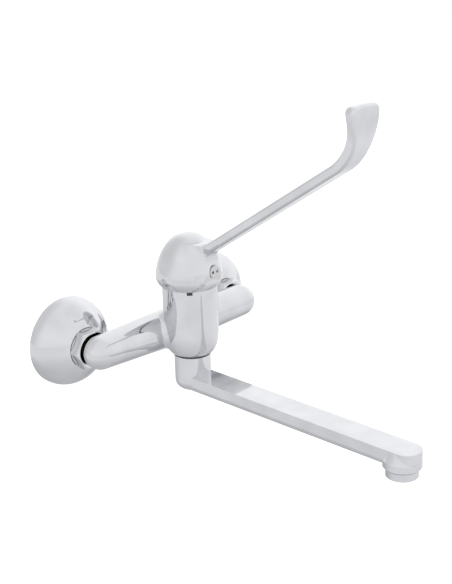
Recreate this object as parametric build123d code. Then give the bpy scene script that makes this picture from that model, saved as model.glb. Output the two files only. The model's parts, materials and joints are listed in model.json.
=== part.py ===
from build123d import *
from math import acos, atan2, cos, hypot, pi, radians, sin, sqrt, tan
import os

# Wall-mounted single-lever mixer tap, in millimetres.
# The wall is the plane y = 0, the user stands on the -Y side, +Z is up, and the origin lies
# midway between the two wall threads.

# Overall sizes
INLET_PITCH = 150.0
UNION_OFFSET = 12.5
ARM_DEPTH = 40.9
BARREL_FORWARD = 20.85
SPOUT_REACH = 204.0

# Named clearances
RUNNING = 0.05
SEATED = 0.02
APART = 0.3
EDGE_BREAK = 0.4

# Wall unions and flanges
WALL_THREAD_RADIUS = 10.48
WALL_THREAD_LENGTH = 18.0
UNION_BORE_RADIUS = 6.5
UNION_HEX_RADIUS = 12.6
UNION_HEX_BACK = 1.0
UNION_HEX_FRONT = 5.0
UNION_NECK_FRONT = 13.0
TAP_THREAD_RADIUS = 13.2
TAP_THREAD_END = 26.2
TAP_BORE_RADIUS = 7.5
FLANGE_RADIUS = 34.8
FLANGE_DEPTH = 27.5
FLANGE_MOUTH_GAP = 0.5
FLANGE_WALL = 1.5
FLANGE_LIP = 2.0
FLANGE_HUB_LENGTH = 8.0

# Union nuts, nipples and washers
NUT_ACROSS_FLATS = 28.5
NUT_BACK = 21.5
NUT_SKIRT_WALL = 2.1
NUT_HEX_BACK = 24.9
NUT_FRONT = 33.8
NUT_LIP = 2.5
NUT_CHAMFER = 1.6
NUT_FACE_RADIUS = 13.8
NUT_MOUTH_RADIUS = 11.0
NUT_SPACE = 0.9
NIPPLE_COLLAR_RADIUS = 11.8
NIPPLE_COLLAR = 3.0
NIPPLE_SHANK_RADIUS = 9.15
NIPPLE_DEPTH = 6.5
STRAINER_WIRE = 0.5
STRAINER_DISH = 1.6
HIDDEN = 0.01

# Body casting
ARM_END_RADIUS = 13.1
ARM_ROOT_RADIUS = 15.5
ARM_END_FACE = 36.0
ARM_SWELL_RADIUS = 300.0
ARM_BORE_RADIUS = 3.6
ARM_FILLET = 4.0
BARREL_WALL = 2.45
BARREL_TOP = 40.3
BARREL_BOTTOM = -15.9
BARREL_TAPER_START = 3.0
BARREL_FOOT_RADIUS = 14.8
BARREL_TOP_CHAMFER = 0.6
PASSAGE_RADIUS = 2.8
SEAT_HEIGHT = 8.5
CHAMBER_TOP = -8.0

# Cartridge
CARTRIDGE_RADIUS = 17.5
CARTRIDGE_WALL = 1.9
BASE_THICKNESS = 3.5
DISC_PLAY = 1.1
FIXED_DISC = 3.5
MOVING_DISC = 2.5
SLIDE_ROOM = 3.8
DISC_POCKET = 1.4
DISC_POCKET_WALL = 2.2
DISC_POCKET_EDGE = -1.9
COUPLER_HEIGHT = 5.2
COUPLER_FLOOR = 0.9
COUPLER_SIDE_PLAY = 2.0
CARRIER_FLANGE = 3.2
CARRIER_NECK_STEP = 7.1
HOUSING_SHOULDER = 31.5
HOUSING_NECK_WALL = 2.1
HOUSING_NECK = 4.6
INLET_PORT = (7.2, -5.0)
OUTLET_PORT = (0.0, 5.0)
INLET_PORT_RADIUS = 2.6
OUTLET_PORT_RADIUS = 3.4
SEAL_WIDTH = 1.3
SEAL_DEPTH = 1.1
LOCATING_PIN_RADIUS = 1.5
LOCATING_PIN_LENGTH = 2.5
LOCATING_PIN_INSET = 4.9

# Spindle, pin and clamping ring
PIVOT_HEIGHT = 29.0
PIN_RADIUS = 1.5
SPINDLE_WIDTH = 8.0
SPINDLE_TOP = 62.0
SPINDLE_ARM = 3.4
SPINDLE_TIP_RADIUS = 2.4
SPINDLE_TIP_DROP = 7.4
CLAMP_THREAD_STEP = 1.5
CLAMP_RING_HEIGHT = 6.5
CLAMP_PLAY = 0.35
CLAMP_HEX_WALL = 2.1
CLAMP_HEX_HEIGHT = 3.4
TRIM_STEP = 1.85
TRIM_WALL = 1.3
TRIM_MOUTH_RADIUS = 14.2
TRIM_SPIGOT = 1.8

# Lever cap and lever
CAP_RIM_HEIGHT = 39.7
CAP_RIM_WALL = 0.85
CAP_RIM_SLOPE = 1.2
CAP_WAIST_HEIGHT = 48.5
CAP_WAIST_WALL = 4.15
CAP_SHOULDER_HEIGHT = 63.6
CAP_SHOULDER_WALL = 0.05
CAP_CROWN_HEIGHT = 79.9
CAP_CROWN_RADIUS = 10.2
CAP_CROWN_DROP = 2.2
CAP_ROOF_HEIGHT = 70.0
CAP_ROOF_ROUND = 9.0
CAP_BOSS_RADIUS = 8.5
CAP_ROOF_THICKNESS = 2.6
LEVER_ANGLE = 32.7
LEVER_ROOT_WIDTH = 13.4
LEVER_WIDTH = 19.0
LEVER_THICKNESS = 7.3
LEVER_STANDOFF = 0.3
LEVER_START_HEIGHT = 77.8
LEVER_EDGE = 2.2
NECK_BACK = 6.0
NECK_DIP = 15.5
NECK_DIP_HEIGHT = 75.6
NECK_UNDERCUT = 2.7
NECK_THROAT_HEIGHT = 64.6
NECK_THROAT_RUN = 0.1
NECK_PROUD = 1.9
NECK_FACE_WIDTH = 13.6
NECK_EDGE = 2.4
NECK_FOOT_SINK = 0.6
NECK_FOOT_HEIGHT = 45.0
PADDLE_FRONT = 173.1
PADDLE_TOP = 197.4
PADDLE_WIDTH = 30.0
PADDLE_THICKNESS = 7.9
PADDLE_CROWN = 1.0
PADDLE_LEAN = 4.0
PADDLE_FLARE_START = 164.0
PADDLE_FLARE_END = 0.1
PADDLE_CORNER = 4.8
BEND_RADIUS = 40.0
BEND_OUTER_RADIUS = 44.0

# Set screw and index plug
SCREW_RADIUS = 3.0
SCREW_LENGTH = 9.0
SCREW_SOCKET = 3.0
SCREW_RISE = 2.5
KEY_HOLE_RADIUS = 3.2
PLUG_RADIUS = 5.2
PLUG_THICKNESS = 2.4
PLUG_PROUD = 0.5
PLUG_ROUND = 0.4
PLUG_STEM_LENGTH = 3.0
PLUG_STEM_WALL = 1.0
MARK_RADIUS = 1.1
MARK_SPACING = 4.4
MARK_DEPTH = 0.8
MARK_PROUD = 0.1

# Spout
COLLAR_RADIUS = 14.3
COLLAR_WALL = 2.0
GLIDE_THICKNESS = 0.6
SPOUT_TOP = -33.5
SPOUT_BOTTOM = -46.5
SPOUT_WIDTH = 22.0
SPOUT_UNDER_ROUND = 5.5
HUB_UNDER_ROUND = 8.0
SPOUT_END_ROUND = 10.0
SPOUT_BORE_RADIUS = 4.4
JOURNAL_RADIUS = 8.9
JOURNAL_END = -35.2
NIPPLE_THREAD_STEP = 0.7
SPOUT_NIPPLE_WALL = 2.5
O_RING_SECTION = 2.0
O_RING_SQUEEZE = 0.3
O_RING_ROUND = 0.6
O_RING_HEIGHTS = (-21.5, -31.0)
GRUB_HEIGHT = -26.3
GRUB_RADIUS = 2.0
GRUB_GROOVE = 1.0
GRUB_SOCKET_DEPTH = 2.4
HEAD_WALL = 2.2
HEAD_BOTTOM = -48.5
HEAD_CHAMFER = 1.6
HEAD_TOP_RADIUS = 11.0
HEAD_FULL_HEIGHT = -42.0

# Aerator
AERATOR_THREAD_RADIUS = 11.6
AERATOR_BAND_STEP = 0.1
AERATOR_BOTTOM = -54.4
AERATOR_SEAT = -39.0
AERATOR_WALL = 1.5
OUTLET_LEDGE = 1.0
AERATOR_LIP = 0.9
GASKET_THICKNESS = 1.5
SCREEN_THICKNESS = 0.6
JET_HOLE_RADIUS = 0.75
JET_HOLE_PITCH = 2.3
INSERT_WALL = 1.4
INSERT_RAISED = 2.0

# Places worked out from the sizes above
BARREL_Y = -(ARM_DEPTH + BARREL_FORWARD)
BARREL = Pos(0, BARREL_Y, UNION_OFFSET)
SIDES = {"left": -1, "right": 1}
NUT_CORNER = NUT_ACROSS_FLATS / 2 / cos(radians(30))
NUT_SKIRT_RADIUS = TAP_THREAD_RADIUS + NUT_SKIRT_WALL
FLANGE_MOUTH_RADIUS = NUT_SKIRT_RADIUS + FLANGE_MOUTH_GAP
BASE_TOP = SEAT_HEIGHT + BASE_THICKNESS
FIXED_TOP = BASE_TOP + FIXED_DISC
MOVING_TOP = FIXED_TOP + MOVING_DISC
COUPLER_TOP = MOVING_TOP + COUPLER_HEIGHT
CARRIER_BOTTOM = COUPLER_TOP + APART
CARRIER_SHOULDER = CARRIER_BOTTOM + CARRIER_FLANGE
HOUSING_BORE = CARTRIDGE_RADIUS - CARTRIDGE_WALL
DISC_RADIUS = HOUSING_BORE - DISC_PLAY
MOVING_RADIUS = HOUSING_BORE - SLIDE_ROOM
DISC_POCKET_RADIUS = MOVING_RADIUS - DISC_POCKET_WALL
CARRIER_NECK_RADIUS = CARTRIDGE_RADIUS - CARRIER_NECK_STEP
LOCATING_PIN_SPACING = CARTRIDGE_RADIUS - LOCATING_PIN_INSET
NECK_RADIUS = CARRIER_NECK_RADIUS + RUNNING + HOUSING_NECK_WALL
CLAMP_THREAD_RADIUS = CARTRIDGE_RADIUS + CLAMP_THREAD_STEP
CLAMP_BORE_RADIUS = NECK_RADIUS + CLAMP_PLAY
CLAMP_ACROSS_FLATS = 2 * (CLAMP_BORE_RADIUS + CLAMP_HEX_WALL)
BARREL_RADIUS = CLAMP_THREAD_RADIUS + BARREL_WALL
TRIM_RADIUS = BARREL_RADIUS + TRIM_STEP
SCREW_HEIGHT = PIVOT_HEIGHT + TRIM_RADIUS + SCREW_RISE
RIM_BORE = BARREL_RADIUS + EDGE_BREAK
CAP_RIM_RADIUS = RIM_BORE + CAP_RIM_WALL
CAP_WAIST_RADIUS = RIM_BORE + CAP_WAIST_WALL
CAP_SHOULDER_RADIUS = RIM_BORE + CAP_SHOULDER_WALL
LEVER_START = CAP_WAIST_RADIUS + LEVER_STANDOFF
NECK_FACE = CAP_WAIST_RADIUS + NECK_PROUD
NECK_THROAT = NECK_FACE - NECK_UNDERCUT
NECK_THROAT_START = NECK_FACE + NECK_THROAT_RUN
NECK_FOOT = CAP_WAIST_RADIUS - NECK_FOOT_SINK
CLAMP_TOP = HOUSING_SHOULDER + CLAMP_RING_HEIGHT
GLIDE_BOTTOM = BARREL_BOTTOM - GLIDE_THICKNESS
NIPPLE_THREAD_RADIUS = JOURNAL_RADIUS + NIPPLE_THREAD_STEP
SPOUT_NIPPLE_BORE = JOURNAL_RADIUS - SPOUT_NIPPLE_WALL
HEAD_RADIUS = AERATOR_THREAD_RADIUS + HEAD_WALL
AERATOR_BAND_RADIUS = AERATOR_THREAD_RADIUS + AERATOR_BAND_STEP
AERATOR_BORE_RADIUS = AERATOR_THREAD_RADIUS - AERATOR_WALL
OUTLET_RADIUS = AERATOR_BORE_RADIUS - OUTLET_LEDGE
O_RING_FLOOR = JOURNAL_RADIUS - O_RING_SECTION + O_RING_SQUEEZE


def cylinder(radius, low, high):
    """Upright cylinder about the local Z axis between two heights."""
    middle = (Align.CENTER, Align.CENTER, Align.MIN)
    return Pos(0, 0, low) * Cylinder(radius, high - low, align=middle)


def tube(outer, inner, low, high):
    """Upright ring between two heights."""
    return cylinder(outer, low, high) - cylinder(inner, low - 1, high + 1)


def hexagon(across_flats, low, high):
    """Upright hexagonal prism with its flats at the top and bottom of the plan."""
    outline = RegularPolygon(across_flats / 2, 6, major_radius=False)
    return Pos(0, 0, low) * extrude(outline, high - low)


def turned(*edges):
    """Solid turned about the local Z axis from an outline drawn as (radius, height)."""
    return revolve(Plane.XZ * make_face(Wire(edges)), Axis.Z)


def turned_polygon(*points):
    """Solid turned about the local Z axis from straight-sided outline points."""
    return revolve(Plane.XZ * make_face(Polyline(*points, close=True)), Axis.Z)


def bar_x(radius, x_from, x_to):
    """Cylinder along X."""
    return Rot(0, 90, 0) * cylinder(radius, x_from, x_to)


def bar_y(radius, y_from, y_to):
    """Cylinder along Y."""
    return Rot(-90, 0, 0) * cylinder(radius, y_from, y_to)


def at_inlet(side, shape):
    """Shape whose local Z is the distance from the wall, put on one inlet's axis."""
    inlet = Plane(origin=(side * INLET_PITCH / 2, 0, UNION_OFFSET), x_dir=(1, 0, 0), z_dir=(0, -1, 0))
    return inlet.location * shape


def around(centres, shape):
    """One copy of a shape at each (x, y) of the plan."""
    return [Pos(x, y, 0) * shape for x, y in centres]


def ports():
    """Plan positions of the two inlet ports and the outlet port, with their radii."""
    x, y = INLET_PORT
    return [((-x, y), INLET_PORT_RADIUS), ((x, y), INLET_PORT_RADIUS), (OUTLET_PORT, OUTLET_PORT_RADIUS)]


# Wall unions

def s_union(side):
    """Eccentric union: wall thread below, tap thread on the nut's axis, joined by a slanting neck."""
    wall = Pos(0, -UNION_OFFSET, 0)
    outer = wall * cylinder(WALL_THREAD_RADIUS, -WALL_THREAD_LENGTH, UNION_HEX_BACK)
    outer += wall * hexagon(2 * UNION_HEX_RADIUS * cos(radians(30)), UNION_HEX_BACK, UNION_HEX_FRONT)
    neck_back = Pos(0, -UNION_OFFSET, UNION_HEX_FRONT) * Circle(WALL_THREAD_RADIUS)
    neck_front = Pos(0, 0, UNION_NECK_FRONT) * Circle(TAP_THREAD_RADIUS)
    outer += loft([neck_back, neck_front])
    outer += cylinder(TAP_THREAD_RADIUS, UNION_NECK_FRONT, TAP_THREAD_END)
    bore_back = Pos(0, -UNION_OFFSET, UNION_HEX_FRONT) * Circle(UNION_BORE_RADIUS)
    bore_front = Pos(0, 0, UNION_NECK_FRONT) * Circle(TAP_BORE_RADIUS)
    outer -= wall * cylinder(UNION_BORE_RADIUS, -WALL_THREAD_LENGTH - 1, UNION_HEX_FRONT)
    outer -= loft([bore_back, bore_front])
    outer -= cylinder(TAP_BORE_RADIUS, UNION_NECK_FRONT, TAP_THREAD_END + 1)
    return at_inlet(side, outer)


def wall_flange(side):
    """Domed shell with a turned-in mouth, and a hub that screws on the tap thread."""
    def dome(radius, depth):
        arc = EllipticalCenterArc((0, FLANGE_LIP), radius, depth, start_angle=0, arc_size=90)
        return turned(Line((0, 0), (radius, 0)), Line((radius, 0), (radius, FLANGE_LIP)), arc,
                      Line((0, FLANGE_LIP + depth), (0, 0)))

    depth = FLANGE_DEPTH - FLANGE_LIP
    hollow = dome(FLANGE_RADIUS - FLANGE_WALL, depth - FLANGE_WALL)
    shell = dome(FLANGE_RADIUS, depth) - Pos(0, 0, -HIDDEN) * hollow
    floor = NUT_BACK - SEATED
    hub = dome(FLANGE_RADIUS - FLANGE_WALL / 2, depth - FLANGE_WALL / 2)
    hub &= cylinder(FLANGE_MOUTH_RADIUS + FLANGE_WALL, floor - FLANGE_HUB_LENGTH, FLANGE_DEPTH)
    flange = shell + hub
    flange -= cylinder(FLANGE_MOUTH_RADIUS, floor, FLANGE_DEPTH + 1)
    flange -= cylinder(TAP_THREAD_RADIUS + RUNNING, -1, FLANGE_DEPTH + 1)
    return at_inlet(side, flange)


def union_nut(side):
    """Hexagonal union nut: threaded skirt over the union, inward lip behind the nipple's collar."""
    low, high = NUT_BACK, NUT_FRONT
    nut = hexagon(NUT_ACROSS_FLATS, NUT_HEX_BACK, high)
    nut &= turned_polygon((0, NUT_HEX_BACK), (NUT_SKIRT_RADIUS, NUT_HEX_BACK),
                          (NUT_CORNER, NUT_HEX_BACK + APART), (NUT_CORNER, high - NUT_CHAMFER),
                          (NUT_FACE_RADIUS, high), (0, high))
    nut += cylinder(NUT_SKIRT_RADIUS, low, NUT_HEX_BACK)
    slope = NUT_MOUTH_RADIUS - NIPPLE_SHANK_RADIUS - APART
    nut -= turned_polygon((0, high - slope), (NUT_MOUTH_RADIUS - slope, high - slope),
                          (NUT_MOUTH_RADIUS, high), (0, high))
    nut -= cylinder(TAP_THREAD_RADIUS + RUNNING, low - 1, high - NUT_LIP)
    nut -= cylinder(NIPPLE_SHANK_RADIUS + APART, low, high + 1)
    return at_inlet(side, nut)


def inlet_nipple(side):
    """Screwed tail whose collar is drawn to the union by the nut."""
    collar_front = NUT_FRONT - NUT_LIP - SEATED
    nipple = cylinder(NIPPLE_COLLAR_RADIUS, collar_front - NIPPLE_COLLAR, collar_front)
    nipple += cylinder(NIPPLE_SHANK_RADIUS, collar_front, ARM_END_FACE + NIPPLE_DEPTH)
    nipple -= cylinder(UNION_BORE_RADIUS, 0, ARM_DEPTH + ARM_END_RADIUS)
    return at_inlet(side, nipple)


def washer_front():
    """Distance from the wall of the washer's tap-side face."""
    return NUT_FRONT - NUT_LIP - SEATED - NIPPLE_COLLAR


def inlet_washer(side):
    """Flat seal between the union's end and the nipple's collar."""
    front = washer_front()
    ring = tube(NIPPLE_COLLAR_RADIUS, TAP_BORE_RADIUS, TAP_THREAD_END, front)
    return at_inlet(side, ring)


def inlet_strainer(side):
    """Dished steel screen sitting inside the union's bore, its rim against the washer's bore."""
    rim = TAP_BORE_RADIUS - SEATED
    high = TAP_THREAD_END + STRAINER_WIRE
    low = high - STRAINER_WIRE
    dish = turned_polygon((0, low - STRAINER_DISH), (rim - 2 * STRAINER_DISH, low - STRAINER_DISH),
                          (rim, low), (rim, high), (rim - STRAINER_WIRE, high),
                          (rim - 2 * STRAINER_DISH - STRAINER_WIRE / 2, high - STRAINER_DISH),
                          (0, high - STRAINER_DISH))
    return at_inlet(side, dish)


# Body casting

def arms():
    """Both inlet arms turned about X, tapering from the middle to a ball-shaped elbow at each end."""
    half = INLET_PITCH / 2
    lean = acos(ARM_END_RADIUS / hypot(ARM_ROOT_RADIUS, half)) - atan2(half, ARM_ROOT_RADIUS)
    touch_radius = ARM_END_RADIUS * cos(lean)
    touch = half + ARM_END_RADIUS * sin(lean)
    tip = half + ARM_END_RADIUS
    limb = FilletPolyline((touch_radius, -touch), (ARM_ROOT_RADIUS, 0), (touch_radius, touch),
                          radius=ARM_SWELL_RADIUS)
    right = RadiusArc((touch_radius, touch), (0, tip), -ARM_END_RADIUS)
    left = RadiusArc((0, -tip), (touch_radius, -touch), -ARM_END_RADIUS)
    turned_limb = turned(*limb.edges(), right, Line((0, tip), (0, -tip)), left)
    return Pos(0, -ARM_DEPTH, UNION_OFFSET) * Rot(0, 90, 0) * turned_limb


def arm_ways(side):
    """Water way of one arm: nipple thread, arm bore, cross passage and port up to the cartridge."""
    half = INLET_PITCH / 2
    x, y = INLET_PORT
    thread = bar_y(NIPPLE_SHANK_RADIUS + SEATED, ARM_DEPTH - ARM_END_FACE - NIPPLE_DEPTH, ARM_DEPTH)
    elbow = bar_y(UNION_BORE_RADIUS, -ARM_BORE_RADIUS - APART, ARM_DEPTH)
    ways = Pos(side * half, -ARM_DEPTH, UNION_OFFSET) * (thread + elbow)
    start = x - ARM_BORE_RADIUS
    end = half - UNION_BORE_RADIUS / 2
    along = bar_x(ARM_BORE_RADIUS, start, end) if side > 0 else bar_x(ARM_BORE_RADIUS, -end, -start)
    ways += Pos(0, -ARM_DEPTH, UNION_OFFSET) * along
    ways += BARREL * Pos(side * x, 0, 0) * bar_y(PASSAGE_RADIUS, y, BARREL_FORWARD)
    ways += BARREL * Pos(side * x, y, 0) * cylinder(PASSAGE_RADIUS, 0, SEAT_HEIGHT + 1)
    return ways


def barrel_blank():
    """Upright barrel whose lower part draws in along an ellipse to the spout's collar."""
    taper = EllipticalCenterArc((BARREL_FOOT_RADIUS, BARREL_TAPER_START), BARREL_RADIUS - BARREL_FOOT_RADIUS,
                                BARREL_TAPER_START - BARREL_BOTTOM, start_angle=270, arc_size=90)
    outline = Polyline((BARREL_RADIUS, BARREL_TAPER_START), (BARREL_RADIUS, BARREL_TOP), (0, BARREL_TOP),
                       (0, BARREL_BOTTOM), (BARREL_FOOT_RADIUS, BARREL_BOTTOM))
    return turned(taper, *outline.edges())


def mixer_body():
    """One casting: barrel, two arms and their water ways, the cartridge seat and the spout's thread."""
    barrel = barrel_blank()
    barrel = chamfer(barrel.edges().group_by(Axis.Z)[-1], BARREL_TOP_CHAMFER)
    barrel = BARREL * barrel
    limbs = arms()
    body = barrel + limbs
    body = fillet(new_edges(barrel, limbs, combined=body), ARM_FILLET)
    for side in SIDES.values():
        body -= at_inlet(side, cylinder(NUT_CORNER + NUT_SPACE, 0, ARM_END_FACE))
        body -= arm_ways(side)
    body -= BARREL * cylinder(CARTRIDGE_RADIUS + RUNNING, SEAT_HEIGHT, BARREL_TOP)
    body -= BARREL * cylinder(CLAMP_THREAD_RADIUS, HOUSING_SHOULDER - 1, BARREL_TOP + 1)
    body -= BARREL * Pos(*OUTLET_PORT, 0) * cylinder(OUTLET_PORT_RADIUS, CHAMBER_TOP, SEAT_HEIGHT + 1)
    body -= BARREL * cylinder(NIPPLE_THREAD_RADIUS + SEATED, BARREL_BOTTOM - 1, CHAMBER_TOP)
    spacing = LOCATING_PIN_SPACING
    floor = SEAT_HEIGHT - LOCATING_PIN_LENGTH - APART
    pin_hole = cylinder(LOCATING_PIN_RADIUS + RUNNING, floor, SEAT_HEIGHT + 1)
    for hole in around([(-spacing, 0), (spacing, 0)], pin_hole):
        body -= BARREL * hole
    return body


# Cartridge

def cartridge_base():
    """Bottom plate with three ports, seal recesses on both faces and two locating pins."""
    plate = cylinder(CARTRIDGE_RADIUS, SEAT_HEIGHT, BASE_TOP)
    for (x, y), radius in ports():
        plate -= Pos(x, y, 0) * cylinder(radius, SEAT_HEIGHT - 1, BASE_TOP + 1)
        recess = cylinder(radius + SEAL_WIDTH, SEAT_HEIGHT - 1, SEAT_HEIGHT + SEAL_DEPTH)
        recess += cylinder(radius + SEAL_WIDTH, BASE_TOP - SEAL_DEPTH, BASE_TOP + 1)
        plate -= Pos(x, y, 0) * recess
    pin = cylinder(LOCATING_PIN_RADIUS, SEAT_HEIGHT - LOCATING_PIN_LENGTH, SEAT_HEIGHT + 1)
    spacing = LOCATING_PIN_SPACING
    for foot in around([(-spacing, 0), (spacing, 0)], pin):
        plate += foot
    return BARREL * plate


def port_seals(low):
    """Three rubber rings, one round each port, filling a recess from its floor to its mouth."""
    rings = []
    for (x, y), radius in ports():
        ring = tube(radius + SEAL_WIDTH - SEATED, radius, low, low + SEAL_DEPTH)
        rings.append(BARREL * Pos(x, y, 0) * ring)
    return Compound(rings)


def fixed_disc():
    """Ceramic disc with three ports, keyed to the base."""
    disc = cylinder(DISC_RADIUS, BASE_TOP, FIXED_TOP)
    for (x, y), radius in ports():
        disc -= Pos(x, y, 0) * cylinder(radius, BASE_TOP - 1, FIXED_TOP + 1)
    return BARREL * disc


def moving_disc():
    """Ceramic disc whose underside pocket joins the inlets to the outlet when it slides."""
    disc = cylinder(MOVING_RADIUS, FIXED_TOP, MOVING_TOP)
    pocket = cylinder(DISC_POCKET_RADIUS, FIXED_TOP - 1, FIXED_TOP + DISC_POCKET)
    front = 2 * MOVING_RADIUS
    pocket -= Pos(0, DISC_POCKET_EDGE - front / 2, FIXED_TOP) * Box(front, front, 4 * DISC_POCKET)
    return BARREL * (disc - pocket)


def disc_coupler():
    """Slider on the moving disc, with a cross slot that the spindle's tip pushes."""
    block = cylinder(MOVING_RADIUS, MOVING_TOP, COUPLER_TOP)
    slot = 2 * (SPINDLE_TIP_RADIUS + APART)
    floor = MOVING_TOP + COUPLER_FLOOR
    middle = (Align.CENTER, Align.CENTER, Align.MIN)
    block -= Pos(0, 0, floor) * Box(slot + COUPLER_SIDE_PLAY, slot, COUPLER_HEIGHT, align=middle)
    return BARREL * block


def lever_carrier():
    """Rotor that turns in the housing's neck and holds the pivot pin across its slot."""
    slot_length = 2 * (SPINDLE_TIP_DROP + APART)
    rotor = cylinder(HOUSING_BORE - APART, CARRIER_BOTTOM, CARRIER_SHOULDER)
    rotor += cylinder(CARRIER_NECK_RADIUS, CARRIER_SHOULDER, HOUSING_SHOULDER + HOUSING_NECK)
    rotor -= Pos(0, 0, PIVOT_HEIGHT) * Box(SPINDLE_WIDTH + 2 * APART, slot_length, 4 * SPINDLE_WIDTH)
    rotor -= Pos(0, 0, PIVOT_HEIGHT) * bar_x(PIN_RADIUS + SEATED, -DISC_RADIUS, DISC_RADIUS)
    return BARREL * rotor


def pivot_pin():
    """Cross pin, as long as the rotor's neck is wide at its height."""
    half = sqrt(CARRIER_NECK_RADIUS ** 2 - PIN_RADIUS ** 2) - SEATED
    return BARREL * Pos(0, 0, PIVOT_HEIGHT) * bar_x(PIN_RADIUS, -half, half)


def spindle():
    """Square stem above the pivot, round hub on it, and a lower arm that ends in a ball."""
    middle = (Align.CENTER, Align.CENTER, Align.MIN)
    length = SPINDLE_TOP - PIVOT_HEIGHT
    stem = Pos(0, 0, PIVOT_HEIGHT) * Box(SPINDLE_WIDTH, SPINDLE_WIDTH, length, align=middle)
    stem = chamfer(stem.edges().group_by(Axis.Z)[-1], 2 * EDGE_BREAK)
    half = SPINDLE_WIDTH / 2
    stem += Pos(0, 0, PIVOT_HEIGHT) * bar_x(half, -half, half)
    tip = PIVOT_HEIGHT - SPINDLE_TIP_DROP
    stem += Pos(0, 0, tip) * Box(SPINDLE_ARM, SPINDLE_ARM, SPINDLE_TIP_DROP, align=middle)
    stem += Pos(0, 0, tip) * Sphere(SPINDLE_TIP_RADIUS)
    stem -= Pos(0, 0, PIVOT_HEIGHT) * bar_x(PIN_RADIUS + RUNNING, -SPINDLE_WIDTH, SPINDLE_WIDTH)
    return BARREL * stem


def cartridge_housing():
    """Plastic cup over the discs, stepped in to a neck that the rotor turns in."""
    neck_top = HOUSING_SHOULDER + HOUSING_NECK
    cup = cylinder(CARTRIDGE_RADIUS, BASE_TOP, HOUSING_SHOULDER)
    cup += cylinder(NECK_RADIUS, HOUSING_SHOULDER, neck_top)
    cup -= cylinder(HOUSING_BORE, BASE_TOP - 1, CARRIER_SHOULDER + SEATED)
    cup -= cylinder(CARRIER_NECK_RADIUS + RUNNING, BASE_TOP, neck_top + 1)
    return BARREL * cup


def clamping_ring():
    """Threaded brass ring that holds the cartridge down, with a hexagon for the spanner."""
    ring = cylinder(CLAMP_THREAD_RADIUS - SEATED, HOUSING_SHOULDER, CLAMP_TOP)
    ring += hexagon(CLAMP_ACROSS_FLATS, CLAMP_TOP, CLAMP_TOP + CLAMP_HEX_HEIGHT)
    ring -= cylinder(CLAMP_BORE_RADIUS, HOUSING_SHOULDER - 1, CLAMP_TOP + CLAMP_HEX_HEIGHT + 1)
    return BARREL * ring


def trim_dome():
    """Polished ball-shaped ring under the cap, centred on the pivot so that the cap rides over it."""
    shell = Pos(0, 0, PIVOT_HEIGHT) * (Sphere(TRIM_RADIUS) - Sphere(TRIM_RADIUS - TRIM_WALL))
    shell &= cylinder(TRIM_RADIUS, BARREL_TOP, PIVOT_HEIGHT + TRIM_RADIUS)
    shell -= cylinder(TRIM_MOUTH_RADIUS, BARREL_TOP - 1, PIVOT_HEIGHT + TRIM_RADIUS + 1)
    inner = sqrt((TRIM_RADIUS - TRIM_WALL) ** 2 - (BARREL_TOP - PIVOT_HEIGHT) ** 2) - TRIM_WALL
    spigot = tube(CLAMP_THREAD_RADIUS - SEATED, inner, BARREL_TOP - TRIM_SPIGOT, BARREL_TOP + 1)
    spigot &= Pos(0, 0, PIVOT_HEIGHT) * Sphere(TRIM_RADIUS - TRIM_WALL / 2)
    return BARREL * (shell + spigot)


# Lever cap

def cap_shell():
    """Helmet-shaped outside of the cap, turned about the barrel's axis."""
    crown = (CAP_CROWN_RADIUS, CAP_CROWN_HEIGHT - CAP_CROWN_DROP)
    shoulder = (CAP_SHOULDER_RADIUS, CAP_SHOULDER_HEIGHT)
    waist = (CAP_WAIST_RADIUS, CAP_WAIST_HEIGHT)
    rim = (CAP_RIM_RADIUS, CAP_RIM_HEIGHT)
    top = (0, CAP_CROWN_HEIGHT)
    side = Spline(top, crown, shoulder, waist, rim, tangents=[(1, 0), (-1, -CAP_RIM_SLOPE)])
    return turned(side, Line(rim, (0, CAP_RIM_HEIGHT)), Line((0, CAP_RIM_HEIGHT), top))


def cap_cavity():
    """Inside of the cap: a straight bore with a rounded roof."""
    bore = cylinder(RIM_BORE, CAP_RIM_HEIGHT - 1, CAP_ROOF_HEIGHT)
    hollow = fillet(bore.edges().group_by(Axis.Z)[-1], CAP_ROOF_ROUND)
    limit = Pos(0, 0, -CAP_ROOF_THICKNESS) * cap_shell()
    return hollow & (limit + cylinder(RIM_BORE, CAP_RIM_HEIGHT - 1, CAP_WAIST_HEIGHT))


def lever_corners():
    """Corner points of the lever's side view, as (forward of the barrel's axis, height)."""
    slope = tan(radians(LEVER_ANGLE))
    lean = tan(radians(PADDLE_LEAN))
    drop = LEVER_THICKNESS / cos(radians(LEVER_ANGLE))

    def arm_top(forward):
        return LEVER_START_HEIGHT + (forward - LEVER_START) * slope

    back = PADDLE_FRONT - PADDLE_THICKNESS
    start = (LEVER_START, arm_top(LEVER_START))
    inner = (back, arm_top(back))
    inner_top = (back - lean * (PADDLE_TOP - inner[1]), PADDLE_TOP)
    outer = (PADDLE_FRONT, arm_top(PADDLE_FRONT) - drop)
    outer_top = (PADDLE_FRONT - lean * (PADDLE_TOP - outer[1]), PADDLE_TOP)
    under = (NECK_THROAT_START, arm_top(NECK_THROAT_START) - drop)
    return start, inner, inner_top, outer_top, outer, under


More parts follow.
